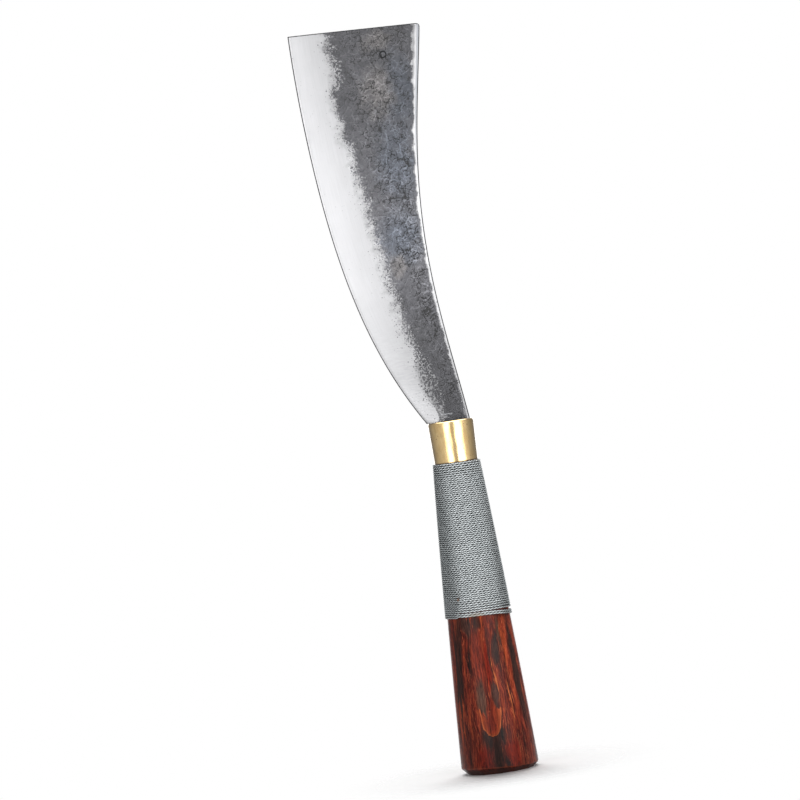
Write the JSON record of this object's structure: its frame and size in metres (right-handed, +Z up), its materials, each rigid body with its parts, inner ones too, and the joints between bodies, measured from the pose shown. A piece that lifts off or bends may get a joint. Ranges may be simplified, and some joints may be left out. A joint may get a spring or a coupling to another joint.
{
  "type": "curved chopper",
  "caption": "Farm chopper with a sweeping, square-tipped forged blade, brass ferrule, twine-bound grip and tapered hardwood handle, for cutting stalks, brush and husks.",
  "frame": {"origin": "middle of the flat butt face at the bottom of the handle, on the handle's axis", "axes": "+Z up along the handle's axis towards the blade's tip; -X towards the cutting edge and +X towards the spine; the blade's two flats face -Y and +Y"},
  "size_m": [0.0827, 0.0442, 0.4305],
  "materials": {
    "forged_steel": "dark forge scale over hammered flats, with a satin ground bevel and spine",
    "brass": "polished, lightly tarnished",
    "hardwood": "figured red-brown wood under a gloss coat",
    "twine": "laid grey twine, slight sheen",
    "resin": "set dark resin"
  },
  "bodies": {
    "root": {"blade": "forged_steel", "ferrule": "brass", "handle": "hardwood", "grip_winding": "twine", "tang_bedding": "resin"}
  },
  "joints": []
}
